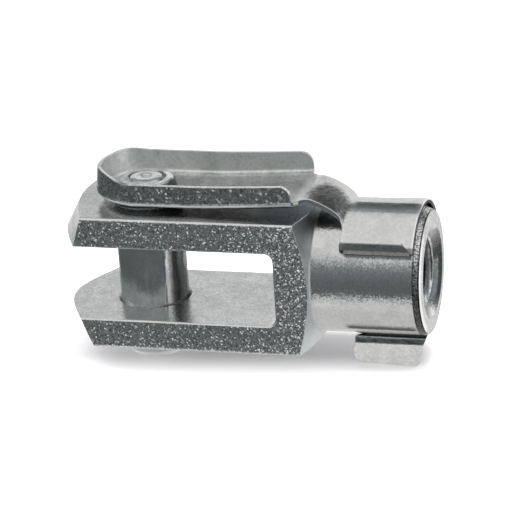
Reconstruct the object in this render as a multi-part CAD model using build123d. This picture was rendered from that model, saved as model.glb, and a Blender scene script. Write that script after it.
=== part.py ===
from build123d import *
import os
from math import sin, cos, atan, radians, degrees, sqrt

os.makedirs("parts", exist_ok=True)

# Clevis rod end, size 8 x 16 M8, with a riveted pin in a folded spring clip.
# Millimetres. The origin is where the pin's axis crosses the thread's axis.
# +X runs along the neck to the threaded end, +Z up the pin to its riveted head.

# ---- fork: square bar, turned at both ends, slotted and drilled ----
BAR = 16.0            # square section of the fork
BAR_EDGE = 0.35       # rounding of the bar's long edges
TIP_CONES = (         # turned end of each ear: side, cone's x at radius 4, axial fall per mm of radius, run-out in y
    (1, -10.26, 0.56, 1.05),
    (-1, -10.02, 0.645, 0.0),
)
SHOULDER_SLOPE = 0.423  # axial fall of the shoulder cone per mm of radius
SHOULDER_X = 20.6     # where the shoulder cone leaves the flats at radius 8
NECK_R = 7.42
NECK_END = 33.32
NECK_CHAMFER_L = 0.8
NECK_CHAMFER_R = 0.38
END_RIM_R = 7.1       # outer rim of the threaded end's face
END_OFF = -0.14       # the end was faced a little off the neck's axis, low
END_CROWN = 0.12      # and stands proud by this much at the countersink
ROOT_FILLET = 0.4
SLOT = 8.82           # gap between the ears
SLOT_END = 16.7
SLOT_CORNER = 1.0
SLOT_BREAK = 0.15     # broken edge round the slot
PIN_D = 8.0
HOLE_D = 8.06         # running fit for the pin
HOLE_BREAK = 0.3
THREAD_D = 8.0        # wall at the thread's major diameter
THREAD_MOUTH_R = 5.37
MOUTH_DEPTH = 0.79    # 120 degree countersink

# ---- clip: one strip of spring steel ----
T = 0.5
FLOOR_Z = 8.52        # underside of the channel floor over the pin
FLAT_HALF = 4.98      # half width of the flat floor
BEND_OUT = 0.9        # outer radius of the channel's bends
FLARE_NEAR = 2.5      # the -Y flange leans out by this angle
FLARE_FAR = 4.0       # and the +Y flange by this one
FAR_TALLER = 0.12
CHANNEL_END = 18.7
RIM_CORNER = 1.4
RING_RI = 7.46
RING_X0 = 24.2
RING_X1 = 32.6
BULGE_X0 = 0.36       # the ring's closed side stands off its circle by this much at its left end
BULGE_X1 = 0.60       # and at its right end
LIP_ANGLE = 43.7      # where the ring's sheet turns out into the lip
LIP_LENGTH = 1.7
LIP_DROP = 11.0       # the lip's slope below level
TAB_BEND = 1.25       # outer radius of the bend into the thumb tab
TAB_TURN = 100.0
TAB_LOW_LEFT = -11.5
TAB_LOW_RIGHT = -11.8

# ---- pin ----
PIN_END = -10.9
PIN_CHAMFER = 0.75
SPIGOT_R = 2.6
SPIGOT_HOLE_R = 2.63
HEAD_BASE_R = 3.55
HEAD_TOP = 10.32


def wire_face(points):
    """Closed face through straight edges and three-point arcs: a point is (x, y, z), an arc is ((mid), (end))."""
    edges = []
    last = points[0]
    for p in points[1:]:
        if isinstance(p[0], tuple):
            edges.append(ThreePointArc(last, p[0], p[1]).edge())
            last = p[1]
        else:
            edges.append(Line(last, p).edge())
            last = p
    return Face(Wire(edges))


# ======================= clevis_fork =======================
H = BAR / 2


def shoulder_x(r):
    return SHOULDER_X - SHOULDER_SLOPE * (r - H)


BIG = 11.7
turned = make_face(
    Polyline(
        (-12, 0),
        (-12, BIG),
        (shoulder_x(BIG), BIG),
        (shoulder_x(NECK_R), NECK_R),
        (NECK_END + 0.9, NECK_R),
        (NECK_END + 0.9, 0),
        close=True,
    )
)
root = turned.vertices().sort_by_distance((shoulder_x(NECK_R), NECK_R, 0))[0]
turned = fillet(root, ROOT_FILLET)
turned = revolve(turned, Axis.X, 360)

bar = Pos(12.5, 0, 0) * Box(47, BAR, BAR)
bar = fillet(bar.edges().filter_by(Axis.X), BAR_EDGE)
fork = bar & turned

# threaded end: a slightly crowned face and a long chamfer
crown = END_CROWN / (END_RIM_R - THREAD_MOUTH_R)
long = NECK_CHAMFER_L / NECK_CHAMFER_R
facing = make_face(
    Polyline(
        (NECK_END + END_RIM_R * crown, 0),
        (NECK_END, END_RIM_R),
        (NECK_END - 0.9 * long, END_RIM_R + 0.9),
        (NECK_END + 2, END_RIM_R + 0.9),
        (NECK_END + 2, 0),
        close=True,
    )
)
fork = fork - Pos(0, 0, END_OFF) * revolve(facing, Axis.X, 360)

# each ear's end is turned to a cone, not quite in line with the bar
for side, x4, fall, run_out in TIP_CONES:
    far = x4 + fall * (14 - 4)
    cone = make_face(Polyline((x4 - fall * 4, 0), (far, 14), (-16, 14), (-16, 0), close=True))
    cone = Pos(0, run_out, 0) * revolve(cone, Axis.X, 360)
    fork = fork - (cone & Pos(-8, 0, side * 10) * Box(20, 40, 20))


def slot_outline(y, off):
    h, e, c = SLOT / 2 + off, SLOT_END + off, SLOT_CORNER + off
    k = c * (1 - sqrt(0.5))
    return wire_face(
        [
            (-14, y, -h),
            (e - c, y, -h),
            ((e - k, y, -h + k), (e, y, -h + c)),
            (e, y, h - c),
            ((e - k, y, h - k), (e - c, y, h)),
            (-14, y, h),
            (-14, y, -h),
        ]
    )


slot = loft([slot_outline(-9, 0), slot_outline(9, 0)], ruled=True)
fork = fork - slot
for side in (-1, 1):
    fork = fork - loft(
        [slot_outline(side * (H - SLOT_BREAK), 0), slot_outline(side * (H + 0.05), SLOT_BREAK + 0.05)],
        ruled=True,
    )

# pin holes, their inner mouths broken
fork = fork - Cylinder(HOLE_D / 2, BAR + 4)
for side in (-1, 1):
    z = side * SLOT / 2
    fork = fork - Pos(0, 0, z + side * (HOLE_BREAK / 2 - 0.05)) * (
        Rot(0 if side > 0 else 180, 0, 0)
        * Cone(HOLE_D / 2 + HOLE_BREAK + 0.1, HOLE_D / 2, HOLE_BREAK + 0.1)
    )
    fork = fork - Pos(0, 0, side * (H - 0.075)) * (
        Rot(180 if side > 0 else 0, 0, 0) * Cone(HOLE_D / 2 + 0.2, HOLE_D / 2, 0.2)
    )

# tapped hole: plain wall at the major diameter, countersunk mouth, through to the slot
R_T = THREAD_D / 2
mouth_x = NECK_END + END_CROWN - MOUTH_DEPTH
bore = make_face(
    Polyline(
        (SLOT_END - 1, 0),
        (SLOT_END - 1, R_T),
        (mouth_x, R_T),
        (mouth_x + 2 * MOUTH_DEPTH, 2 * THREAD_MOUTH_R - R_T),
        (mouth_x + 2 * MOUTH_DEPTH, 0),
        close=True,
    )
)
fork = fork - revolve(bore, Axis.X, 360)
export_step(fork, "parts/clevis_fork.step")


# ======================= spring_clip =======================
BEND_IN = BEND_OUT - T
FLANGE_H = 2.93


def rise(x):
    """How far the channel floor climbs above its level over the pin."""
    table = [(0, 0), (6, 0), (9, 0.06), (12, 0.2), (15, 0.36), (18.7, 0.6)]
    for (xa, ya), (xb, yb) in zip(table, table[1:]):
        if x <= xb:
            return ya + (yb - ya) * (max(x, xa) - xa) / (xb - xa)
    return table[-1][1]


def bend_points(flat, zb, h, lean):
    """Outline of one bent-up side from the floor's flat edge: outer (w, z) bottom, arc mid, arc end, rim, then inner rim, arc end, arc mid, floor."""
    a = radians(lean)
    cw, cz = flat, zb + BEND_OUT
    half = (radians(90) - a) / 2 + a

    def arc(r, ang):
        return (cw + r * cos(ang), cz - r * sin(ang))

    length = (h - BEND_OUT + BEND_OUT * sin(a)) / cos(a)
    o_end = arc(BEND_OUT, a)
    i_end = arc(BEND_IN, a)
    rim_o = (o_end[0] + length * sin(a), o_end[1] + length * cos(a))
    rim_i = (i_end[0] + length * sin(a), i_end[1] + length * cos(a))
    return {
        "o0": (cw, zb),
        "om": arc(BEND_OUT, half),
        "o1": o_end,
        "ro": rim_o,
        "ri": rim_i,
        "i1": i_end,
        "im": arc(BEND_IN, half),
        "i0": (cw, zb + T),
    }


def channel_section(x):
    zb = FLOOR_Z + rise(x)
    h = FLANGE_H - 0.18 * max(0.0, x - 6) / 12.7
    b = bend_points(FLAT_HALF, zb, h + FAR_TALLER, FLARE_FAR)
    c = bend_points(FLAT_HALF, zb, h, FLARE_NEAR)

    def right(k):
        return (x, b[k][0], b[k][1])

    def left(k):
        return (x, -c[k][0], c[k][1])

    return wire_face(
        [
            left("o0"),
            right("o0"),
            (right("om"), right("o1")),
            right("ro"),
            right("ri"),
            right("i1"),
            (right("im"), right("i0")),
            left("i0"),
            (left("im"), left("i1")),
            left("ri"),
            left("ro"),
            left("o1"),
            (left("om"), left("o0")),
        ]
    )


channel = loft([channel_section(x) for x in (0, 6)], ruled=True)
channel += loft([channel_section(x) for x in (6, 9, 12, 15, CHANNEL_END)])

# rounded upper corners at the flanges' free ends
rim_z = FLOOR_Z + rise(CHANNEL_END) + 2.75
corner = Pos(CHANNEL_END - RIM_CORNER + 5, 0, rim_z - RIM_CORNER + 5) * Box(10, 14, 10)
corner -= Pos(CHANNEL_END - RIM_CORNER, 0, rim_z - RIM_CORNER) * (
    Rot(90, 0, 0) * Cylinder(RIM_CORNER, 20)
)
channel = channel - corner

# the bowed front end: wall foot (radius of the outer face), then rim radius and height, by azimuth
BOW = [
    (270, 5.88, 5.97, 11.45),
    (262, 5.82, 5.94, 11.5),
    (253, 5.70, 5.80, 11.6),
    (243, 5.67, 5.48, 11.66),
    (232, 5.67, 5.20, 11.71),
    (220, 5.69, 5.09, 11.75),
    (208, 5.76, 5.17, 11.75),
    (196, 5.84, 5.45, 11.75),
    (185, 5.88, 5.72, 11.75),
    (174, 5.89, 5.86, 11.76),
    (162, 5.90, 6.02, 11.78),
    (152, 5.94, 6.09, 11.83),
    (142, 6.01, 6.26, 11.89),
    (132, 6.09, 6.36, 11.94),
    (122, 6.10, 6.40, 11.9),
    (112, 6.02, 6.22, 11.77),
    (101, 5.94, 6.06, 11.63),
    (90, 5.88, 5.99, 11.57),
]
CORE = 3.0


def bow_section(azimuth, foot, rim, rim_z):
    flat = foot - BEND_OUT
    h = rim_z - FLOOR_Z
    if azimuth == 90:
        lean, h = FLARE_FAR, FLANGE_H + FAR_TALLER
    elif azimuth == 270:
        lean, h = FLARE_NEAR, FLANGE_H
    else:
        lean = degrees(atan((rim - foot) / (h - BEND_OUT)))
    b = bend_points(flat, FLOOR_Z, h, lean)
    ca, sa = cos(radians(azimuth)), sin(radians(azimuth))
    if azimuth in (90, 270):
        ca, sa = 0.0, (1.0 if azimuth == 90 else -1.0)

    def at(w, z):
        return (w * ca, w * sa, z)

    return wire_face(
        [
            at(CORE, FLOOR_Z),
            at(*b["o0"]),
            (at(*b["om"]), at(*b["o1"])),
            at(*b["ro"]),
            at(*b["ri"]),
            at(*b["i1"]),
            (at(*b["im"]), at(*b["i0"])),
            at(CORE, FLOOR_Z + T),
            at(CORE, FLOOR_Z),
        ]
    )


bow = loft([bow_section(*row) for row in BOW])
floor_disc = Pos(0, 0, FLOOR_Z + T / 2) * Cylinder(CORE + 0.6, T)
floor_disc = floor_disc - Pos(5, 0, FLOOR_Z) * Box(10, 12, 4)
clip = channel + bow + floor_disc

# strap: x, top at the centre line, top at the edges, half width
STRAP = [
    (CHANNEL_END - 0.3, 9.61, 9.61, 4.95),
    (CHANNEL_END + 0.1, 9.63, 9.63, 4.75),
    (19.3, 9.68, 9.69, 4.3),
    (19.9, 9.74, 9.76, 4.05),
    (20.4, 9.73, 9.72, 4.0),
    (21.0, 9.61, 9.53, 4.0),
    (21.6, 9.41, 9.29, 4.0),
    (22.1, 9.19, 9.02, 4.0),
    (22.7, 8.89, 8.70, 4.0),
    (23.2, 8.58, 8.36, 4.0),
    (23.7, 8.22, 7.92, 4.02),
    (24.0, 8.04, 7.42, 4.16),
    (RING_X0, 7.96, None, 4.5),
]


def strap_section(i):
    x, zc, ze, w = STRAP[i]
    if ze is None:
        zo = sqrt((RING_RI + T) ** 2 - w * w)
        zi = sqrt(RING_RI**2 - w * w)
        return wire_face(
            [
                (x, -w, zi),
                ((x, 0, RING_RI), (x, w, zi)),
                (x, w, zo),
                ((x, 0, RING_RI + T), (x, -w, zo)),
                (x, -w, zi),
            ]
        )
    a, b = max(i - 1, 0), min(i + 1, len(STRAP) - 1)
    za = STRAP[a][2]
    zb = STRAP[b][2] if STRAP[b][2] else 6.57
    slope_c = (STRAP[b][1] - STRAP[a][1]) / (STRAP[b][0] - STRAP[a][0])
    slope_e = (zb - za) / (STRAP[b][0] - STRAP[a][0])
    tc = T * sqrt(1 + slope_c**2)
    te = min(T * sqrt(1 + slope_e**2), 0.62)
    crown = 1e-4 if abs(zc - ze) < 1e-4 else 0.0
    return wire_face(
        [
            (x, -w, ze - te),
            ((x, 0, zc + crown - tc), (x, w, ze - te)),
            (x, w, ze),
            ((x, 0, zc + crown), (x, -w, ze)),
            (x, -w, ze - te),
        ]
    )


strap = loft([strap_section(i) for i in range(len(STRAP))])
clip = clip + strap

# open ring round the neck, from the lip over the top and round the back to the bottom
RO = RING_RI + T


def ring_yz(r, angle):
    """angle is measured up from the front horizontal, over the top."""
    a = radians(angle)
    return (-r * cos(a), r * sin(a))


def ring_face(x, a0, a1):
    mid = (a0 + a1) / 2
    o0, om, o1 = ring_yz(RO, a0), ring_yz(RO, mid), ring_yz(RO, a1)
    i0, im, i1 = ring_yz(RING_RI, a0), ring_yz(RING_RI, mid), ring_yz(RING_RI, a1)
    return wire_face(
        [
            (x, *i0),
            ((x, *im), (x, *i1)),
            (x, *o1),
            ((x, *om), (x, *o0)),
            (x, *i0),
        ]
    )


BULGE_FROM, BULGE_FULL, BULGE_FADE, BULGE_TO = 75.0, 150.0, 222.0, 267.0


def ease(t):
    t = min(max(t, 0.0), 1.0)
    return t * t * (3 - 2 * t)


def bulged_face(x, bulge):
    """The ring's closed side, which springs off the neck: its section bulges between two true arcs."""
    steps = 26
    outer, inner = [], []
    for k in range(steps + 1):
        ang = BULGE_FROM + (BULGE_TO - BULGE_FROM) * k / steps
        off = bulge * ease((ang - BULGE_FROM) / (BULGE_FULL - BULGE_FROM))
        off *= ease((BULGE_TO - ang) / (BULGE_TO - BULGE_FADE))
        outer.append((x, *ring_yz(RO + off, ang)))
        inner.append((x, *ring_yz(RING_RI + off, ang)))

    def tangent(ang):
        a = radians(ang)
        return (0, sin(a), cos(a))

    ends = [tangent(BULGE_FROM), tangent(BULGE_TO)]
    return Face(
        Wire(
            [
                Spline(*inner, tangents=ends).edge(),
                Line(inner[-1], outer[-1]).edge(),
                Spline(*outer, tangents=ends).edge(),
                Line(outer[0], inner[0]).edge(),
            ]
        )
    )


width = RING_X1 - RING_X0
ring = extrude(ring_face(RING_X0, LIP_ANGLE, BULGE_FROM), amount=width, dir=(1, 0, 0))
ring += loft([bulged_face(RING_X0, BULGE_X0), bulged_face(RING_X1, BULGE_X1)], ruled=True)
ring += extrude(ring_face(RING_X0, BULGE_TO, 270), amount=width, dir=(1, 0, 0))

# right-hand corner of the ring's front end, left unbent beside the lip
corner_face = ring_face(30.0, 34.6, LIP_ANGLE)
corner_piece = extrude(corner_face, amount=RING_X1 - 30.0, dir=(1, 0, 0))
keep = extrude(
    wire_face([(31.25, -12, 5.55), (34, -12, 5.55), (34, -12, 3.2), (33.2, -12, 3.2), (31.25, -12, 5.55)]),
    amount=12,
    dir=(0, 1, 0),
)
corner_piece = corner_piece & keep

# the flared lip: a short bend, then a flat plate
turn = (90 - LIP_ANGLE) - LIP_DROP          # outward turn of the sheet
BEND_L = 0.25                               # concave radius on the upper side
oy, oz = ring_yz(RO, LIP_ANGLE)
iy, iz = ring_yz(RING_RI, LIP_ANGLE)
na = radians(LIP_ANGLE)
ny, nz = -cos(na), sin(na)                  # outward normal at the bend line
cy, cz = oy + BEND_L * ny, oz + BEND_L * nz


def about(r, deg):
    """A point of the bend at radius r from its centre, turned on by deg."""
    b = radians(deg)
    vy, vz = -ny, -nz
    return (cy + r * (vy * cos(b) - vz * sin(b)), cz + r * (vy * sin(b) + vz * cos(b)))


u_end, u_mid = about(BEND_L, -turn), about(BEND_L, -turn / 2)
l_end, l_mid = about(BEND_L + T, -turn), about(BEND_L + T, -turn / 2)
dy, dz = -cos(radians(LIP_DROP)), -sin(radians(LIP_DROP))
L2 = LIP_LENGTH - 0.1
X_L = 32.65
lip_face = wire_face(
    [
        (RING_X0, iy, iz),
        (RING_X0, oy, oz),
        ((RING_X0, *u_mid), (RING_X0, *u_end)),
        (RING_X0, u_end[0] + L2 * dy, u_end[1] + L2 * dz),
        (RING_X0, l_end[0] + L2 * dy, l_end[1] + L2 * dz),
        (RING_X0, *l_end),
        ((RING_X0, *l_mid), (RING_X0, iy, iz)),
    ]
)
lip = extrude(lip_face, amount=X_L - RING_X0, dir=(1, 0, 0))
# its outline seen from above: rounded left corner, oblique right end
y_root, y_tip = oy + 0.6, u_end[0] + L2 * dy - 0.3
cr = 1.0
y_e = u_end[0] + L2 * dy
kk = cr * (1 - sqrt(0.5))
outline = wire_face(
    [
        (RING_X0, y_root, 9),
        (31.25, y_root, 9),
        (31.25, oy, 9),
        (32.55, y_e, 9),
        (32.55, y_tip, 9),
        (RING_X0 + cr, y_tip, 9),
        (RING_X0 + cr, y_e, 9),
        ((RING_X0 + kk, y_e + kk, 9), (RING_X0, y_e + cr, 9)),
        (RING_X0, y_root, 9),
    ]
)
lip = lip & extrude(outline, amount=8, dir=(0, 0, -1))

# thumb tab: the ring's sheet bends down and leans back
bc = -(RING_RI + TAB_BEND)


def tab_yz(r, deg):
    b = radians(deg)
    return (-r * sin(b), bc + r * cos(b))


f_end, b_end = tab_yz(TAB_BEND, TAB_TURN), tab_yz(TAB_BEND - T, TAB_TURN)
ddy, ddz = -cos(radians(TAB_TURN)), -sin(radians(TAB_TURN))
TL = 2.9
X_T = 23.3
tab_face = wire_face(
    [
        (X_T, 0, -RING_RI),
        ((X_T, *tab_yz(TAB_BEND, TAB_TURN / 2)), (X_T, *f_end)),
        (X_T, f_end[0] + TL * ddy, f_end[1] + TL * ddz),
        (X_T, b_end[0] + TL * ddy, b_end[1] + TL * ddz),
        (X_T, *b_end),
        ((X_T, *tab_yz(TAB_BEND - T, TAB_TURN / 2)), (X_T, 0, -RO)),
        (X_T, 0, -RING_RI),
    ]
)
tab = extrude(tab_face, amount=RING_X1 - X_T, dir=(1, 0, 0))
# its outline seen from the front, corners rounded
BL, BR = 1.1, 0.9
lx, rx = 23.87, 31.72
ql, qr = BL * (1 - sqrt(0.5)), BR * (1 - sqrt(0.5))
NOTCH = 1.35          # depth of the slit that frees the tab's left corner from the ring
front = wire_face(
    [
        (RING_X0, -3, -7.0),
        (RING_X0, -3, -7.75),
        (RING_X0 + NOTCH, -3, -7.88),
        (RING_X0 + NOTCH, -3, -7.96),
        (RING_X0, -3, -8.13),
        (RING_X0 - 0.03, -3, -9.0),
        (lx, -3, -9.7),
        (lx, -3, TAB_LOW_LEFT + BL),
        ((lx + ql, -3, TAB_LOW_LEFT + ql), (lx + BL, -3, TAB_LOW_LEFT)),
        (rx - BR, -3, TAB_LOW_RIGHT),
        ((rx - qr, -3, TAB_LOW_RIGHT + qr), (rx, -3, TAB_LOW_RIGHT + BR)),
        (RING_X1 - 0.45, -3, -9.0),
        (RING_X1 - 0.15, -3, -8.3),
        (RING_X1, -3, -7.9),
        (RING_X1, -3, -7.0),
        (RING_X0, -3, -7.0),
    ]
)
tab = tab & extrude(front, amount=4, dir=(0, 1, 0))

clip = clip + ring + corner_piece + lip + tab

# hole for the pin's riveted spigot
clip = clip - Pos(0, 0, FLOOR_Z) * Cylinder(SPIGOT_HOLE_R, 6)
export_step(clip, "parts/spring_clip.step")


# ======================= clip_pin =======================
R_P = PIN_D / 2
FT = FLOOR_Z + T
pin_profile = Face(
    Wire([
        Line((0, PIN_END), (R_P - PIN_CHAMFER - 0.08, PIN_END)).edge(),
        ThreePointArc(
            (R_P - PIN_CHAMFER - 0.08, PIN_END),
            (R_P - PIN_CHAMFER - 0.005, PIN_END + 0.018),
            (R_P - PIN_CHAMFER + 0.06, PIN_END + 0.06),
        ).edge(),
        Line((R_P - PIN_CHAMFER + 0.06, PIN_END + 0.06), (R_P, PIN_END + PIN_CHAMFER)).edge(),
        Line((R_P, PIN_END + PIN_CHAMFER), (R_P, FLOOR_Z - 0.2)).edge(),
        Line((R_P, FLOOR_Z - 0.2), (R_P - 0.2, FLOOR_Z)).edge(),
        Line((R_P - 0.2, FLOOR_Z), (SPIGOT_R, FLOOR_Z)).edge(),
        Line((SPIGOT_R, FLOOR_Z), (SPIGOT_R, FT)).edge(),
        Line((SPIGOT_R, FT), (HEAD_BASE_R, FT)).edge(),
        Line((HEAD_BASE_R, FT), (HEAD_BASE_R - 0.12, FT + 0.75)).edge(),
        ThreePointArc(
            (HEAD_BASE_R - 0.12, FT + 0.75), (HEAD_BASE_R - 0.33, HEAD_TOP - 0.13), (HEAD_BASE_R - 0.75, HEAD_TOP - 0.02)
        ).edge(),
        Line((HEAD_BASE_R - 0.75, HEAD_TOP - 0.02), (2.3, HEAD_TOP)).edge(),
        ThreePointArc((2.3, HEAD_TOP), (2.08, HEAD_TOP - 0.16), (1.86, HEAD_TOP + 0.06)).edge(),
        ThreePointArc((1.86, HEAD_TOP + 0.06), (1.25, HEAD_TOP + 0.15), (0.7, HEAD_TOP + 0.1)).edge(),
        Line((0.7, HEAD_TOP + 0.1), (0.45, HEAD_TOP - 0.02)).edge(),
        Line((0.45, HEAD_TOP - 0.02), (0, HEAD_TOP - 0.02)).edge(),
        Line((0, HEAD_TOP - 0.02), (0, PIN_END)).edge(),
    ])
)
pin = revolve(Plane.XZ * pin_profile, Axis.Z, 360)
export_step(pin, "parts/clip_pin.step")
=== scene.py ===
import math

import bmesh
import bpy
from mathutils import Matrix, Vector


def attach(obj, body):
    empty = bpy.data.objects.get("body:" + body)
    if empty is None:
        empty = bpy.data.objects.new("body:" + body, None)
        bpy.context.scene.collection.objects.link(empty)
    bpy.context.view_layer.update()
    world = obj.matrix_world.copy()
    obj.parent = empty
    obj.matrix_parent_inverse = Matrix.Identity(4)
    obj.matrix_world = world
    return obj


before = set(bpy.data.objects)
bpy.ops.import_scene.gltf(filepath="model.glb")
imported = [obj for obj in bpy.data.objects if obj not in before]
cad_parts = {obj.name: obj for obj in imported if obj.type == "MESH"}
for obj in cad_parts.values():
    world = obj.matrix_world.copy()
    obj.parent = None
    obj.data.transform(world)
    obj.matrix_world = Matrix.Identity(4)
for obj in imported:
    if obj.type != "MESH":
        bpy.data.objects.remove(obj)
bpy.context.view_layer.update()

MM = 0.001
scene = bpy.context.scene
scene.view_settings.view_transform = "Standard"
scene.view_settings.look = "None"
scene.view_settings.exposure = 0.0
scene.view_settings.gamma = 1.0

# ------------------------------------------------------------------ camera
right = Vector((0.96513, 0.25428, -0.06211))
up = Vector((-0.03853, 0.37271, 0.92715))
fwd = right.cross(up) * -1.0
cam_data = bpy.data.cameras.new("camera")
cam = bpy.data.objects.new("camera", cam_data)
scene.collection.objects.link(cam)
rot = Matrix((right, up, -fwd)).transposed().to_4x4()
cam.matrix_world = Matrix.Translation(Vector((102.435, -309.158, 128.758)) * MM) @ rot
cam_data.sensor_width = 36.0
cam_data.lens = 208.96
cam_data.clip_start = 0.01
cam_data.clip_end = 20.0
scene.camera = cam


# ------------------------------------------------------------------ node helpers
def is_socket(v):
    return isinstance(v, bpy.types.NodeSocket)


class Nodes:
    """Short ways to write a node tree."""

    def __init__(self, tree):
        self.t = tree
        self.n = tree.nodes
        self.l = tree.links

    def add(self, kind, **props):
        node = self.n.new(kind)
        for k, v in props.items():
            setattr(node, k, v)
        return node

    def put(self, v, sock):
        if is_socket(v):
            self.l.new(v, sock)
        else:
            sock.default_value = v

    def math(self, op, a, b=None, c=None, clamp=False):
        node = self.add("ShaderNodeMath", operation=op, use_clamp=clamp)
        for i, v in enumerate((a, b, c)):
            if v is not None:
                self.put(v, node.inputs[i])
        return node.outputs[0]

    def vec(self, op, a, b=None, scale=None):
        node = self.add("ShaderNodeVectorMath", operation=op)
        self.put(a, node.inputs[0])
        if b is not None:
            self.put(b, node.inputs[1])
        if scale is not None:
            self.put(scale, node.inputs["Scale"])
        return node.outputs["Value"] if op in ("DOT_PRODUCT", "LENGTH") else node.outputs["Vector"]

    def smooth(self, v, lo, hi, a=0.0, b=1.0):
        node = self.add("ShaderNodeMapRange", interpolation_type="SMOOTHSTEP")
        self.put(v, node.inputs["Value"])
        node.inputs["From Min"].default_value = lo
        node.inputs["From Max"].default_value = hi
        node.inputs["To Min"].default_value = a
        node.inputs["To Max"].default_value = b
        return node.outputs["Result"]

    def linear(self, v, lo, hi, a=0.0, b=1.0):
        node = self.add("ShaderNodeMapRange", interpolation_type="LINEAR", clamp=True)
        self.put(v, node.inputs["Value"])
        node.inputs["From Min"].default_value = lo
        node.inputs["From Max"].default_value = hi
        node.inputs["To Min"].default_value = a
        node.inputs["To Max"].default_value = b
        return node.outputs["Result"]

    def band(self, v, lo, hi, soft):
        a = self.smooth(v, lo - soft, lo + soft)
        b = self.smooth(v, hi - soft, hi + soft, 1.0, 0.0)
        return self.math("MULTIPLY", a, b)

    def mix(self, f, a, b):
        """float mix"""
        node = self.add("ShaderNodeMix", data_type="FLOAT")
        self.put(f, node.inputs[0])
        self.put(a, node.inputs[2])
        self.put(b, node.inputs[3])
        return node.outputs[0]

    def mixcol(self, f, a, b):
        node = self.add("ShaderNodeMix", data_type="RGBA")
        self.put(f, node.inputs[0])
        self.put(a, node.inputs[6])
        self.put(b, node.inputs[7])
        return node.outputs[2]

    def noise(self, vec, scale, detail=2.0, rough=0.5, distortion=0.0):
        node = self.add("ShaderNodeTexNoise", noise_dimensions="3D")
        self.put(vec, node.inputs["Vector"])
        node.inputs["Scale"].default_value = scale
        node.inputs["Detail"].default_value = detail
        node.inputs["Roughness"].default_value = rough
        node.inputs["Distortion"].default_value = distortion
        return node.outputs["Fac"], node.outputs["Color"]

    def cells(self, vec, scale):
        node = self.add("ShaderNodeTexVoronoi", feature="F1")
        self.put(vec, node.inputs["Vector"])
        node.inputs["Scale"].default_value = scale
        return node.outputs["Distance"], node.outputs["Color"]


# ------------------------------------------------------------------ studio
# Soft light all round, with two dark flags: one low in front of the object,
# running round to its left, and one high behind it. Metal shows them as bands.
world = bpy.data.worlds.new("studio")
scene.world = world
world.use_nodes = True
w = Nodes(world.node_tree)
w.n.clear()
coord = w.add("ShaderNodeTexCoord")
sep = w.add("ShaderNodeSeparateXYZ")
w.l.new(coord.outputs["Generated"], sep.inputs[0])
dx, dy, dz = sep.outputs
ny = w.math("MULTIPLY", dy, -1.0)
DEG = 180.0 / math.pi
over = w.math("MULTIPLY", w.math("ARCTAN2", dz, ny), DEG)      # 0 front, 90 above, 180 behind
round_ = w.math("MULTIPLY", w.math("ARCTAN2", dx, ny), DEG)    # 0 front, 90 right, -90 left
high = w.math("MULTIPLY", w.math("ARCSINE", dz), DEG)          # 90 above, -90 below
BRIGHT = 0.82
low_band = w.math("MULTIPLY", w.smooth(high, -36.0, -30.0), w.smooth(high, 20.0, 40.0, 1.0, 0.0))
front = w.math("MULTIPLY", low_band, w.band(round_, -136.0, 61.0, 5.0))
flank = w.math("MULTIPLY", w.math("MULTIPLY", low_band, w.band(round_, 97.0, 148.0, 4.0)), 0.95)
back = w.math("MULTIPLY", w.smooth(over, 118.0, 141.0), w.smooth(over, 151.5, 155.5, 1.0, 0.0))
back = w.math("MULTIPLY", w.math("MULTIPLY", back, w.smooth(high, 19.0, 25.0)), 0.95)
dark = w.math("MAXIMUM", w.math("MAXIMUM", front, flank), back)
# the low flag is darkest at its foot
flag = w.math("ADD", w.linear(high, -30.0, 30.0, 0.095, 0.235), 0.0)
flag = w.mix(w.smooth(high, 30.0, 42.0), flag, 0.07)
level = w.mix(dark, w.smooth(high, -64.0, -40.0, 0.66, BRIGHT), flag)
# a brighter strip behind on the right, seen by faces square to the rod's axis
strip = w.math("MULTIPLY", w.band(high, -40.0, 8.0, 4.0), w.band(round_, 146.0, 158.0, 2.0))
level = w.math("ADD", level, w.math("MULTIPLY", strip, 0.55))
path = w.add("ShaderNodeLightPath")
bg_gloss = w.add("ShaderNodeBackground")
w.l.new(level, bg_gloss.inputs["Strength"])
w.l.new(w.mixcol(dark, (1.0, 1.0, 0.985, 1), (0.89, 1.0, 1.03, 1)), bg_gloss.inputs["Color"])
bg_plain = w.add("ShaderNodeBackground")
bg_plain.inputs["Strength"].default_value = 1.0
bg_plain.inputs["Color"].default_value = (1, 1, 1, 1)
bg_diff = w.add("ShaderNodeBackground")
bg_diff.inputs["Strength"].default_value = 1.32
mix1 = w.add("ShaderNodeMixShader")
mix2 = w.add("ShaderNodeMixShader")
w.l.new(path.outputs["Is Diffuse Ray"], mix1.inputs[0])
w.l.new(bg_gloss.outputs[0], mix1.inputs[1])
w.l.new(bg_diff.outputs[0], mix1.inputs[2])
w.l.new(path.outputs["Is Camera Ray"], mix2.inputs[0])
w.l.new(mix1.outputs[0], mix2.inputs[1])
w.l.new(bg_plain.outputs[0], mix2.inputs[2])
out = w.add("ShaderNodeOutputWorld")
w.l.new(mix2.outputs[0], out.inputs["Surface"])

key_data = bpy.data.lights.new("key", "AREA")
key_data.shape = "DISK"
key_data.size = 0.35
key_data.energy = 1.6
key = bpy.data.objects.new("key", key_data)
scene.collection.objects.link(key)
d = Vector((-0.12, -0.30, 1.0)).normalized()
key.location = Vector((0.01, 0, 0)) + d * 0.6
key.rotation_euler = d.to_track_quat("Z", "Y").to_euler()
key.visible_glossy = False

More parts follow.
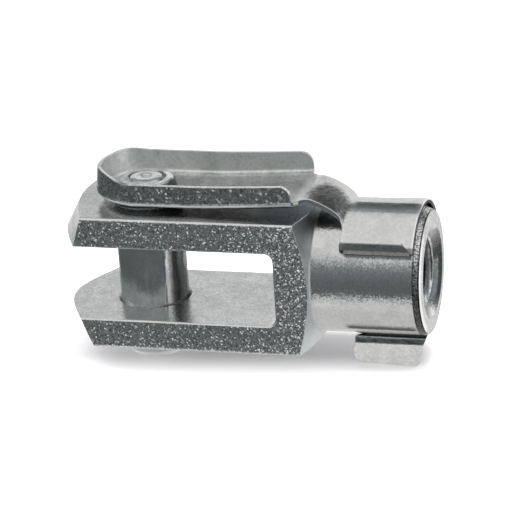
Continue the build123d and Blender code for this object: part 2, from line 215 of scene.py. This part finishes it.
# floor
FLOOR_Z = -11.82 * MM
fm = bpy.data.meshes.new("floor")
bm = bmesh.new()
s = 3.0
bm.faces.new([bm.verts.new(p) for p in ((-s, -s, FLOOR_Z), (s, -s, FLOOR_Z), (s, s, FLOOR_Z), (-s, s, FLOOR_Z))])
bm.to_mesh(fm)
bm.free()
floor = bpy.data.objects.new("floor", fm)
scene.collection.objects.link(floor)
floor.visible_glossy = False
fmat = bpy.data.materials.new("floor_paper")
fmat.use_nodes = True
f = Nodes(fmat.node_tree)
f.n.clear()
dif = f.add("ShaderNodeBsdfDiffuse")
fgrain, _ = f.noise(f.add("ShaderNodeTexCoord").outputs["Object"], 900.0, 2.0, 0.5)
f.l.new(f.mixcol(fgrain, (0.875, 0.87, 0.895, 1), (0.915, 0.91, 0.925, 1)), dif.inputs["Color"])
# painted light: the paper glows, more so away from the object, which keeps the object's shadow narrow and light
fs = f.add("ShaderNodeSeparateXYZ")
f.l.new(f.add("ShaderNodeTexCoord").outputs["Object"], fs.inputs[0])
fxm = f.math("MULTIPLY", fs.outputs[0], 1000.0)
fym = f.math("MULTIPLY", fs.outputs[1], 1000.0)
fb = f.math("MAXIMUM", f.math("DIVIDE", f.math("SUBTRACT", fym, 2.5), 8.5), 0.0)
fx = f.math("DIVIDE", f.math("SUBTRACT", f.math("ABSOLUTE", f.math("SUBTRACT", fxm, 10.0)), 16.0), 9.0)
fx = f.math("MAXIMUM", fx, 0.0)
far = f.math("SQRT", f.math("ADD", f.math("MULTIPLY", fb, fb), f.math("MULTIPLY", fx, fx)))
ahead = f.math("SUBTRACT", f.math("SUBTRACT", f.math("MULTIPLY", fxm, 0.1), 1.7), fym)
shine = f.math("MAXIMUM", f.smooth(far, 0.50, 0.95, 0.0, 0.82), f.smooth(ahead, -1.6, 6.2, 0.0, 0.66))
glow = f.add("ShaderNodeEmission")
f.l.new(shine, glow.inputs["Strength"])
fadd = f.add("ShaderNodeAddShader")
f.l.new(dif.outputs[0], fadd.inputs[0])
f.l.new(glow.outputs[0], fadd.inputs[1])
fo = f.add("ShaderNodeOutputMaterial")
f.l.new(fadd.outputs[0], fo.inputs[0])
fm.materials.append(fmat)


# ------------------------------------------------------------------ metals
class Metal(Nodes):
    """Zinc-plated steel: crystalline grains that tip the surface this way and that, a cloudy film."""

    def __init__(self, name):
        self.mat = bpy.data.materials.new(name)
        self.mat.use_nodes = True
        super().__init__(self.mat.node_tree)
        self.bsdf = self.n["Principled BSDF"]
        self.bsdf.inputs["Metallic"].default_value = 1.0
        tc = self.add("ShaderNodeTexCoord")
        self.p = tc.outputs["Object"]
        sp = self.add("ShaderNodeSeparateXYZ")
        self.l.new(self.p, sp.inputs[0])
        self.x, self.y, self.z = sp.outputs
        geo = self.add("ShaderNodeNewGeometry")
        self.gn = geo.outputs["Normal"]
        bev = self.add("ShaderNodeBevel", samples=4)
        bev.inputs["Radius"].default_value = 0.12 * MM
        self.soft = bev.outputs[0]
        # the face's direction in the object's own frame, so a posed piece keeps its finish
        tr = self.add("ShaderNodeVectorTransform", vector_type="NORMAL", convert_from="WORLD", convert_to="OBJECT")
        self.l.new(self.gn, tr.inputs[0])
        sn = self.add("ShaderNodeSeparateXYZ")
        self.l.new(tr.outputs[0], sn.inputs[0])
        self.nx, self.ny, self.nz = sn.outputs
        self.tilts = []

    def mm(self, v):
        return self.math("MULTIPLY", v, 1000.0)

    def smooth(self, v, lo, hi, a=0.0, b=1.0, flip=False):
        """With flip, lo is the greater bound: 1 below hi, 0 above lo."""
        if flip:
            return super().smooth(v, hi, lo, 1.0, 0.0)
        return super().smooth(v, lo, hi, a, b)

    def channel(self, colour, i):
        node = self.add("ShaderNodeSeparateColor")
        self.l.new(colour, node.inputs[0])
        return node.outputs[i]

    def channel_of_vector(self, v, i):
        node = self.add("ShaderNodeSeparateXYZ")
        self.l.new(v, node.inputs[0])
        return node.outputs[i]

    def darker(self, base, mask, left):
        """Where mask is 1 the colour keeps only the share left."""
        keep = self.mix(mask, 1.0, left)
        return self.vec("SCALE", base, scale=keep)

    def tilt(self, colour, amount):
        """A colour's three channels, centred, tip the normal by amount."""
        v = self.vec("SUBTRACT", colour, (0.5, 0.5, 0.5))
        self.tilts.append(self.vec("SCALE", v, scale=amount))

    def push(self, mask, v):
        """Where mask is 1 the normal leans by the vector v."""
        self.tilts.append(self.vec("SCALE", v, scale=mask))

    def edge(self):
        """1 along the piece's convex edges."""
        d = self.vec("DOT_PRODUCT", self.soft, self.gn)
        return super().smooth(d, 0.90, 0.995, 1.0, 0.0)

    def stretched(self, sx, sy, sz):
        return self.vec("MULTIPLY", self.p, (sx, sy, sz))

    def done(self, base, rough):
        v = self.soft
        for t in self.tilts:
            v = self.vec("ADD", v, t)
        v = self.vec("NORMALIZE", v)
        self.l.new(v, self.bsdf.inputs["Normal"])
        self.put(base, self.bsdf.inputs["Base Color"])
        self.put(rough, self.bsdf.inputs["Roughness"])
        return self.mat


def assign(node, mat):
    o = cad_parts[node]
    for slot in o.material_slots:
        slot.material = mat
    if not o.material_slots:
        o.data.materials.append(mat)


def fork_metal():
    m = Metal("zinc_fork")
    xm, ym, zm = m.mm(m.x), m.mm(m.y), m.mm(m.z)
    side = m.smooth(m.math("ABSOLUTE", m.ny), 0.75, 0.98)
    turned = m.smooth(xm, 20.0, 21.2)                   # the neck is turned, the body blasted
    flat_side = m.math("MULTIPLY", side, m.math("SUBTRACT", 1.0, turned))
    # crystalline grain on the sides: few cells stand out, more of them towards the root
    root = m.smooth(xm, 10.0, 19.0)
    dist, cell = m.cells(m.p, 6800.0)
    pick = m.channel(cell, 0)
    rare = m.smooth(m.math("ADD", pick, m.math("MULTIPLY", root, 0.17)), 0.56, 0.95)
    # saw lines at the upper ear's end
    sawn = m.math("MULTIPLY", m.math("MULTIPLY", flat_side, m.smooth(xm, -8.6, -7.2, 1.0, 0.0)), m.smooth(zm, 3.4, 3.8))
    saw, _ = m.noise(m.stretched(0.05, 1.0, 1.0), 3000.0, 1.0, 0.5)
    rare = m.math("MULTIPLY", rare, m.mix(sawn, 1.0, 0.25))
    still = m.math("ADD", m.math("MULTIPLY", turned, 0.09), 0.035)
    m.tilt(cell, m.math("ADD", m.math("MULTIPLY", m.math("MULTIPLY", flat_side, rare), m.mix(root, 0.43, 0.58)), still))
    fac, col = m.noise(m.p, 4200.0, 2.0, 0.6)
    m.tilt(col, m.math("ADD", m.math("MULTIPLY", flat_side, 0.10), 0.10))
    wide, wcol = m.noise(m.p, 900.0, 2.0, 0.5)
    m.tilt(wcol, 0.03)
    cloud, _ = m.noise(m.p, 420.0, 4.0, 0.6)
    fine, _ = m.noise(m.p, 2600.0, 3.0, 0.65)
    film = m.math("ADD", m.math("MULTIPLY", cloud, 0.5), m.math("MULTIPLY", fine, 0.5))
    tone = m.smooth(film, 0.36, 0.64)
    base = m.mixcol(tone, (0.685, 0.69, 0.69, 1), (0.82, 0.825, 0.82, 1))
    rough = m.mix(tone, 0.28, 0.20)
    # each grain of the sides has its own shade
    shade = m.mix(flat_side, 1.0, m.linear(m.channel(cell, 1), 0.0, 1.0, 0.42, 1.44))
    base = m.vec("SCALE", base, scale=shade)
    base = m.darker(base, sawn, m.smooth(saw, 0.40, 0.60, 0.50, 1.45))
    # painted highlight: a light line just above the body's lower edge, with a painted dark strip below it
    foot = m.math("MULTIPLY", flat_side, m.smooth(xm, -1.0, 3.0))
    base = m.darker(base, m.math("MULTIPLY", foot, m.band(zm, -7.62, -7.46, 0.03)), 1.35)
    base = m.darker(base, m.math("MULTIPLY", foot, m.smooth(zm, -7.66, -7.60, 1.0, 0.0)), 0.82)
    # the shoulder's cone is a little duller and bluer than the neck, with painted shade on its upper part under the
    # clip's strap
    cone = m.math("MULTIPLY", m.band(m.nx, 0.5, 0.97, 0.04), m.band(xm, 18.9, 21.3, 0.2))
    base = m.mixcol(m.math("MULTIPLY", cone, 0.7), base, (0.66, 0.70, 0.725, 1))
    base = m.darker(base, m.math("MULTIPLY", cone, m.smooth(zm, 3.6, 6.0)), 0.62)
    rough = m.mix(cone, rough, 0.40)
    base = m.darker(base, turned, 0.93)
    # painted shade on the top face next to the clip; further along towards the neck it is darker and cooler, a painted
    # dark reflection
    top = m.math("MULTIPLY", m.smooth(m.nz, 0.9, 0.98), m.math("MULTIPLY", m.smooth(zm, 7.4, 7.7), m.smooth(xm, 17.0, 20.0, 1.0, 0.0)))
    base = m.darker(base, top, 0.82)
    lee_top = m.math("MULTIPLY", m.math("MULTIPLY", m.smooth(m.nz, 0.9, 0.98), m.smooth(zm, 7.4, 7.7)), m.smooth(xm, 12.0, 17.0))
    base = m.darker(base, lee_top, m.mix(fine, 0.46, 0.90))
    base = m.mixcol(m.math("MULTIPLY", lee_top, 0.6), base, m.vec("MULTIPLY", base, (0.82, 1.0, 1.12)))
    # threaded end: ragged chamfer darker towards its bottom, painted dark lines, painted shade in the countersink,
    # painted highlight on the rim
    r_end = m.mm(m.vec("LENGTH", m.vec("MULTIPLY", m.vec("ADD", m.p, (0.0, 0.0, 0.00014)), (0.0, 1.0, 1.0))))
    chip, _ = m.noise(m.p, 6000.0, 3.0, 0.7)
    band = m.math("MULTIPLY", m.smooth(xm, 32.50, 32.60), m.smooth(r_end, 7.06, 7.13))
    ragged = m.smooth(chip, 0.40, 0.60, 0.16, 1.25)
    m.tilt(col, m.math("MULTIPLY", band, 0.45))
    base = m.darker(base, band, ragged)
    base = m.darker(base, m.math("MULTIPLY", band, m.smooth(zm, -1.0, 1.0, 1.0, 0.0)), 0.22)
    # painted dark reflection: a thin line at the end face's outer edge
    line = m.math("MULTIPLY", m.smooth(xm, 32.9, 33.0), m.band(r_end, 7.10, 7.17, 0.02))
    base = m.darker(base, line, 0.12)
    # painted shadow on the neck just beside the ring's end
    ring_edge_shadow = m.band(xm, 32.58, 32.66, 0.03)
    base = m.darker(base, m.math("MULTIPLY", ring_edge_shadow, m.smooth(zm, -7.0, -6.0)), 0.12)
    # painted shade inside the countersink and deeper in the bore
    rag = m.math("MULTIPLY", m.math("SUBTRACT", chip, 0.5), 1.1)
    sink = m.math("MULTIPLY", m.smooth(xm, 16.9, 17.2), m.smooth(m.math("ADD", r_end, rag), 5.52, 5.36, 1.0, 0.0, flip=True))
    tall = m.smooth(m.math("ADD", m.math("ABSOLUTE", m.math("ADD", zm, 0.2)), rag), 3.9, 4.8, 1.0, 0.0)
    base = m.darker(base, m.math("MULTIPLY", sink, m.math("MULTIPLY", tall, m.smooth(xm, 30.0, 31.0))), 0.36)
    base = m.darker(base, m.math("MULTIPLY", sink, m.smooth(xm, 30.0, 31.0, 1.0, 0.0)), 0.4)
    # painted highlight: a soft bright streak where the countersink meets the thread
    glint = m.math("MULTIPLY", m.math("MULTIPLY", m.smooth(xm, 31.0, 32.0), m.band(r_end, 3.95, 4.72, 0.14)), m.math("MULTIPLY", m.band(zm, -4.2, -0.3, 0.6), m.smooth(ym, 0.6, 1.6)))
    base = m.mixcol(m.math("MULTIPLY", glint, m.smooth(fine, 0.30, 0.55, 0.4, 1.0)), base, (0.97, 0.97, 0.97, 1))
    face = m.math("MULTIPLY", m.smooth(m.nx, 0.95, 0.99), m.smooth(xm, 33.2, 33.28))
    base = m.darker(base, face, m.mix(fine, 0.70, 1.02))
    # painted highlight on the near side of the end face's outer rim
    lit = m.math("MULTIPLY", face, m.math("MULTIPLY", m.smooth(r_end, 6.1, 6.7), m.smooth(ym, -4.6, -2.6, 1.0, 0.0)))
    base = m.mixcol(lit, base, (0.99, 0.99, 0.99, 1))
    # painted shade: a dark band low on the neck in the lee of the clip's tab, and a painted shadow on the neck under
    # its lip
    turn_ = m.math("MULTIPLY", m.math("ARCTAN2", zm, m.math("MULTIPLY", ym, -1.0)), 180.0 / math.pi)
    wob = m.math("MULTIPLY", m.math("SUBTRACT", fine, 0.5), 5.0)
    ang = m.math("ADD", turn_, wob)
    lee = m.math("MULTIPLY", m.math("MULTIPLY", m.smooth(ang, -48.5, -46.5, 0.0, 1.0), m.smooth(ang, -44.0, -36.0, 1.0, 0.0)), m.band(xm, 24.4, 32.4, 0.4))
    base = m.darker(base, lee, 0.08)
    under = m.math("MULTIPLY", m.band(turn_, 33.4, 40.0, 0.4), m.band(xm, 24.8, 32.2, 0.2))
    base = m.darker(base, under, 0.30)
    # painted highlight along the convex edges that look up, their normals also leaned up
    sz = m.channel_of_vector(m.soft, 2)
    painted_lighting = m.math("MULTIPLY", m.math("MULTIPLY", m.edge(), m.smooth(sz, -0.1, 0.15)), m.smooth(xm, 31.5, 32.0, 1.0, 0.0))
    painted_lighting = m.math("MULTIPLY", painted_lighting, m.smooth(film, 0.36, 0.50, 0.45, 1.0))
    base = m.mixcol(painted_lighting, base, (0.99, 0.99, 0.985, 1))
    m.push(painted_lighting, (0.0, 0.0, 0.6))
    m.push(m.math("MULTIPLY", painted_lighting, m.smooth(m.channel_of_vector(m.soft, 0), 0.2, 0.35)), (0.0, -0.9, 0.0))
    return m.done(base, rough)


def clip_metal():
    m = Metal("zinc_clip")
    xm, ym, zm = m.mm(m.x), m.mm(m.y), m.mm(m.z)
    wall = m.math("MULTIPLY", m.smooth(m.math("ABSOLUTE", m.nz), 0.6, 0.3, flip=True), m.smooth(xm, 20.0, 19.0, flip=True))
    side = m.math("MULTIPLY", wall, m.smooth(ym, 1.0, -1.0, flip=True))
    dist, cell = m.cells(m.p, 4300.0)
    rare = m.smooth(m.channel(cell, 0), 0.66, 0.95)
    m.tilt(cell, m.math("ADD", m.math("MULTIPLY", m.math("MULTIPLY", side, rare), 0.34), 0.03))
    fac, col = m.noise(m.p, 3000.0, 2.0, 0.6)
    m.tilt(col, m.math("ADD", m.math("MULTIPLY", side, 0.06), 0.08))
    wide, wcol = m.noise(m.p, 700.0, 2.0, 0.5)
    m.tilt(wcol, 0.05)
    cloud, _ = m.noise(m.p, 500.0, 4.0, 0.6)
    fine, _ = m.noise(m.p, 2600.0, 3.0, 0.65)
    film = m.math("ADD", m.math("MULTIPLY", cloud, 0.5), m.math("MULTIPLY", fine, 0.5))
    tone = m.smooth(film, 0.36, 0.64)
    base = m.mixcol(tone, (0.705, 0.71, 0.705, 1), (0.83, 0.835, 0.83, 1))
    shade = m.mix(side, 1.0, m.linear(m.channel(cell, 1), 0.0, 1.0, 0.40, 0.98))
    base = m.vec("SCALE", base, scale=shade)
    pan = m.math("MULTIPLY", m.smooth(m.nz, 0.5, 0.9), m.smooth(xm, 18.0, 19.5, 1.0, 0.0))
    pan = m.math("MULTIPLY", pan, m.smooth(zm, 9.9, 10.2, 1.0, 0.0))
    base = m.darker(base, pan, m.mix(tone, 0.43, 0.62))
    base = m.darker(base, m.math("MULTIPLY", pan, m.smooth(ym, 3.4, 4.9)), 1.35)
    # painted highlight: the near bend's foot and the sheared rim above it, the rim darker again towards its left end
    near = m.math("MULTIPLY", m.smooth(xm, 18.8, 19.3, 1.0, 0.0), m.smooth(ym, -1.0, 1.0, 1.0, 0.0))
    foot = m.math("MULTIPLY", m.band(m.nz, -0.96, -0.28, 0.05), m.smooth(zm, 9.8, 10.0, 1.0, 0.0))
    rimtop = m.math("MULTIPLY", m.smooth(m.nz, 0.6, 0.8), m.smooth(zm, 10.4, 10.7))
    painted_highlight_near = m.math("MULTIPLY", near, m.math("MAXIMUM", foot, rimtop))
    painted_highlight_near = m.math("MULTIPLY", painted_highlight_near, m.smooth(film, 0.34, 0.48, 0.6, 1.0))
    base = m.mixcol(painted_highlight_near, base, (0.99, 0.99, 0.985, 1))
    base = m.darker(base, m.math("MULTIPLY", m.math("MULTIPLY", near, rimtop), m.smooth(xm, -0.5, 1.5, 1.0, 0.0)), m.mix(fine, 0.45, 0.95))
    base = m.darker(base, m.math("MULTIPLY", m.smooth(xm, 24.2, 24.5), m.smooth(zm, -9.0, -8.4)), 0.94)
    # painted highlight: the bow's left edge is lightened and its normal leaned up to catch the sky
    bowl = m.math("MULTIPLY", m.math("MULTIPLY", m.smooth(m.nx, -0.90, -0.76, 1.0, 0.0), m.smooth(ym, -0.5, 0.5, 1.0, 0.0)), m.smooth(xm, -4.2, -3.4, 1.0, 0.0))
    m.push(bowl, (0.0, 0.0, 0.75))
    base = m.mixcol(m.math("MULTIPLY", bowl, 0.7), base, (0.90, 0.90, 0.90, 1))
    base = m.darker(base, m.math("MULTIPLY", wall, m.smooth(ym, 3.0, 4.0)), m.mix(fine, 0.92, 1.22))
    # the sheared right end of the ring: painted highlight on its outer half and along the ring's outer rim, painted
    # shade on its inner half
    r_ring = m.mm(m.vec("LENGTH", m.vec("MULTIPLY", m.p, (0.0, 1.0, 1.0))))
    turn_ = m.math("MULTIPLY", m.math("ARCTAN2", zm, m.math("MULTIPLY", ym, -1.0)), 180.0 / math.pi)
    outer = m.math("ADD", m.smooth(turn_, 75.0, 150.0, 0.0, 0.6), 7.96)
    depth = m.math("SUBTRACT", outer, r_ring)
    cut = m.math("MULTIPLY", m.smooth(xm, 32.45, 32.55), m.smooth(m.nx, 0.6, 0.9))
    ring_end_painted_shade = m.math("MULTIPLY", cut, m.smooth(depth, 0.16, 0.22))
    ring_end_painted_highlight = m.math("MULTIPLY", cut, m.smooth(depth, 0.22, 0.16, 1.0, 0.0, flip=True))
    base = m.darker(base, ring_end_painted_shade, 0.07)
    rim = m.math("MULTIPLY", m.band(xm, 32.44, 32.7, 0.03), m.math("MULTIPLY", m.smooth(depth, 0.10, 0.04, flip=True), m.band(turn_, 34.0, 118.0, 4.0)))
    base = m.mixcol(m.math("MAXIMUM", ring_end_painted_highlight, rim), base, (0.99, 0.99, 0.99, 1))
    # painted shade in the slit under the neck and, streaked, in the bend where the tab leaves the ring
    tabx = m.math("MULTIPLY", m.smooth(xm, 23.0, 23.8), m.band(ym, -1.5, 0.35, 0.1))
    streak, _ = m.noise(m.stretched(0.35, 1.0, 1.0), 2600.0, 3.0, 0.7)
    base = m.darker(base, m.math("MULTIPLY", tabx, m.band(zm, -8.06, -7.3, 0.04)), 0.08)
    bend = m.math("MULTIPLY", tabx, m.band(m.math("ADD", zm, m.math("MULTIPLY", m.math("SUBTRACT", streak, 0.5), 0.35)), -8.86, -8.22, 0.06))
    base = m.darker(base, bend, m.smooth(streak, 0.4, 0.6, 0.35, 0.75))
    # painted dark reflection on the saddle where the strap steps down, and painted shade on the lip's sheared front
    # edge
    ex = m.math("DIVIDE", m.math("SUBTRACT", xm, 22.0), 2.25)
    ey = m.math("DIVIDE", m.math("ADD", ym, 1.7), 3.6)
    e = m.math("ADD", m.math("MULTIPLY", ex, ex), m.math("MULTIPLY", ey, ey))
    e = m.math("ADD", e, m.math("MULTIPLY", m.math("SUBTRACT", fine, 0.5), 0.8))
    saddle = m.math("MULTIPLY", m.smooth(e, 1.5, 0.5, flip=True), m.smooth(m.nz, 0.3, 0.5))
    base = m.darker(base, saddle, m.smooth(fine, 0.35, 0.65, 0.12, 0.25))
    lip = m.math("MULTIPLY", m.math("MULTIPLY", m.smooth(ym, -6.0, -6.2, flip=True), m.band(zm, 4.2, 5.75, 0.05)), m.smooth(xm, 24.0, 24.2))
    base = m.darker(base, lip, m.mix(fine, 0.24, 0.44))
    # painted highlight along the strap's sheared edges, and a painted dark reflection along the ring's crown
    strap_edge = m.math("MULTIPLY", m.band(m.math("ABSOLUTE", ym), 3.86, 4.3, 0.03), m.band(xm, 19.6, 24.25, 0.1))
    up_edge = m.math("MULTIPLY", strap_edge, m.smooth(m.nz, 0.2, 0.4))
    base = m.mixcol(up_edge, base, (0.99, 0.99, 0.99, 1))
    side_edge = m.math("MULTIPLY", m.math("MULTIPLY", strap_edge, m.smooth(m.nz, 0.2, 0.4, 1.0, 0.0)), m.math("MULTIPLY", m.edge(), m.smooth(m.channel_of_vector(m.soft, 2), 0.0, 0.2)))
    base = m.mixcol(side_edge, base, (0.99, 0.99, 0.99, 1))
    m.push(side_edge, (0.0, 0.0, 0.9))
    crown = m.math("MULTIPLY", m.smooth(turn_, 77.0, 90.5), m.smooth(turn_, 91.6, 92.6, 1.0, 0.0))
    crown = m.math("MULTIPLY", crown, m.band(xm, 24.9, 32.2, 0.5))
    base = m.darker(base, crown, m.mix(fine, 0.12, 0.34))
    # the channel's inside is matt
    facing_in = m.math("ADD", m.math("MULTIPLY", m.nx, m.math("MINIMUM", xm, 0.0)), m.math("MULTIPLY", m.ny, ym))
    inside = m.math("MULTIPLY", m.smooth(facing_in, -2.0, -0.5, 1.0, 0.0), wall)
    m.push(m.math("MULTIPLY", inside, 0.16), m.vec("SUBTRACT", col, (0.5, 0.5, 0.5)))
    base = m.darker(base, inside, m.mix(cloud, 0.98, 1.30))
    m.push(inside, (0.0, 0.0, 0.09))
    rough = m.mix(ring_end_painted_shade, m.mix(tone, 0.25, 0.18), 0.5)
    rough = m.mix(inside, rough, 0.46)
    return m.done(base, rough)


def pin_metal():
    m = Metal("zinc_pin")
    fac, col = m.noise(m.stretched(1.0, 1.0, 0.35), 2200.0, 3.0, 0.6)
    m.tilt(col, 0.09)
    dist, cell = m.cells(m.p, 5200.0)
    m.tilt(cell, 0.05)
    wide, wcol = m.noise(m.p, 520.0, 2.0, 0.5)
    m.tilt(wcol, 0.10)
    cloud, _ = m.noise(m.p, 500.0, 4.0, 0.6)
    tone = m.smooth(cloud, 0.35, 0.65)
    base = m.mixcol(tone, (0.63, 0.64, 0.635, 1), (0.78, 0.79, 0.785, 1))
    # painted shade: two darker strips along the shank's sides
    xm, ym, zm = m.mm(m.x), m.mm(m.y), m.mm(m.z)
    face = m.math("MULTIPLY", m.math("ARCTAN2", ym, xm), 180.0 / math.pi)
    shank = m.math("MULTIPLY", m.smooth(m.math("ABSOLUTE", m.nz), 0.5, 0.2, flip=True), m.band(zm, -8.0, 8.4, 0.1))
    painted_lighting = m.math("ADD", m.band(face, -28.0, 30.0, 4.0), m.math("ADD", m.smooth(face, -158.0, -150.0, 1.0, 0.0), m.smooth(face, 150.0, 160.0)))
    base = m.darker(base, m.math("MULTIPLY", shank, painted_lighting), 0.50)
    # painted highlight: a bright streak down the shank, widening towards the bottom, its normal leaned to catch the
    # light, with painted shade on either side of it
    down = m.math("SUBTRACT", 3.5, zm)
    side = m.math("SUBTRACT", -46.5, m.math("MULTIPLY", down, 1.4))
    side = m.math("SUBTRACT", m.math("ADD", face, m.math("MULTIPLY", m.math("SUBTRACT", cloud, 0.5), 8.0)), side)
    streak = m.math("MULTIPLY", m.math("MULTIPLY", shank, m.smooth(side, -1.5, 1.5)), m.smooth(face, -40.0, -37.5, 1.0, 0.0))
    base = m.mixcol(streak, base, (0.97, 0.97, 0.96, 1))
    m.push(m.math("MULTIPLY", streak, m.smooth(face, -50.0, -53.0, flip=True)), (0.22, 0.15, 0.0))
    base = m.darker(base, m.math("MULTIPLY", m.math("MULTIPLY", shank, m.smooth(side, 1.5, -1.5, flip=True)), m.smooth(face, -57.0, -54.0)), 0.60)
    base = m.darker(base, m.math("MULTIPLY", shank, m.band(face, -37.5, -27.0, 1.5)), 0.70)
    base = m.darker(base, m.math("MULTIPLY", shank, m.band(face, -8.0, 40.0, 4.0)), 0.34)
    # painted highlight on the lower end, its normal leaned down
    end = m.smooth(zm, -8.3, -8.0, 1.0, 0.0)
    base = m.mixcol(end, base, (0.93, 0.93, 0.93, 1))
    m.push(end, (0.0, 0.0, -1.0))
    # riveted head: painted highlight on the dome, painted shade in the groove round it, a painted highlight on one side
    # of the rim and painted shade at its foot
    r = m.mm(m.vec("LENGTH", m.vec("MULTIPLY", m.p, (1.0, 1.0, 0.0))))
    head = m.smooth(zm, 9.05, 9.15)
    wander = m.math("MULTIPLY", m.math("SUBTRACT", cloud, 0.5), 0.5)
    rr = m.math("ADD", r, wander)
    dome = m.math("MULTIPLY", head, m.smooth(rr, 1.75, 1.9, 1.0, 0.0))
    base = m.mixcol(m.math("MULTIPLY", dome, m.smooth(rr, 0.4, 0.7, 0.1, 0.8)), base, (0.97, 0.97, 0.97, 1))
    groove = m.math("MULTIPLY", head, m.band(rr, 1.92, 2.30, 0.06))
    base = m.darker(base, groove, m.smooth(face, -60.0, 20.0, 0.85, 0.26))
    rim = m.math("MULTIPLY", m.math("MULTIPLY", head, m.band(rr, 2.45, 3.1, 0.08)), m.band(face, -50.0, 50.0, 12.0))
    base = m.mixcol(rim, base, (0.99, 0.99, 0.99, 1))
    under = m.math("MULTIPLY", m.math("MULTIPLY", head, m.smooth(rr, 3.15, 3.25)), m.band(face, -75.0, 25.0, 8.0))
    base = m.darker(base, under, 0.25)
    return m.done(base, m.mix(tone, 0.26, 0.18))


assign("clevis_fork", fork_metal())
assign("spring_clip", clip_metal())
assign("clip_pin", pin_metal())


# ------------------------------------------------------------------ thread ridges in the neck
def thread_ridges():
    """M8 x 1.25 internal thread, one closed sleeve whose inside is the thread's form and whose outside is in the wall."""
    pitch, major, minor = 1.25, 3.99, 3.33
    x_lo, x_hi = 16.72, 32.66
    mouth_x, mouth_slope = 33.44 - 0.79, (5.37 - 4.0) / 0.79
    turns, per = 96, 14
    cols = int(round((x_hi - x_lo) / (pitch / per)))
    verts, faces = [], []

    def radius(x, a):
        t = ((x - x_lo) / pitch - a / (2 * math.pi)) % 1.0
        u = abs(t - 0.5) * 2.0                       # 0 at the crest, 1 at the root
        r = minor + (major - minor) * min(max((u - 0.25) / 0.625, 0.0), 1.0)
        cone = 4.0 + (x - mouth_x) * mouth_slope
        runout = major - (x - x_lo) / 0.35 * (major - minor)
        return min(max(r, cone, runout), major)

    for j in range(cols + 1):
        x = x_lo + (x_hi - x_lo) * j / cols
        for i in range(turns):
            a = 2 * math.pi * i / turns
            r = radius(x, a)
            verts.append((x * MM, -r * math.cos(a) * MM, r * math.sin(a) * MM))
    outer = len(verts)
    R_OUT = 4.06
    for x in (x_lo, x_hi):
        for i in range(turns):
            a = 2 * math.pi * i / turns
            verts.append((x * MM, -R_OUT * math.cos(a) * MM, R_OUT * math.sin(a) * MM))
    for j in range(cols):
        for i in range(turns):
            k = (i + 1) % turns
            faces.append((j * turns + i, j * turns + k, (j + 1) * turns + k, (j + 1) * turns + i))
    for i in range(turns):
        k = (i + 1) % turns
        faces.append((outer + i, outer + turns + i, outer + turns + k, outer + k))
        faces.append((i, outer + i, outer + k, k))
        e = cols * turns
        faces.append((e + i, e + k, outer + turns + k, outer + turns + i))
    me = bpy.data.meshes.new("neck_thread_ridges")
    me.from_pydata(verts, [], faces)
    b = bmesh.new()
    b.from_mesh(me)
    bmesh.ops.recalc_face_normals(b, faces=b.faces)
    b.to_mesh(me)
    b.free()
    me.polygons.foreach_set("use_smooth", [True] * len(me.polygons))
    o = bpy.data.objects.new("neck_thread_ridges", me)
    scene.collection.objects.link(o)
    m = Metal("zinc_thread")
    fac, col = m.noise(m.p, 1800.0, 3.0, 0.6)
    m.tilt(col, 0.3)
    tone = m.smooth(fac, 0.35, 0.65)
    base = m.mixcol(tone, (0.34, 0.35, 0.36, 1), (0.6, 0.61, 0.62, 1))
    # painted shade deep in the bore and painted light towards its mouth
    base = m.vec("SCALE", base, scale=m.smooth(m.mm(m.x), 31.9, 32.5, 0.30, 1.6))
    me.materials.append(m.done(base, m.mix(tone, 0.42, 0.3)))
    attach(o, "fork")
    return o


thread_ridges()
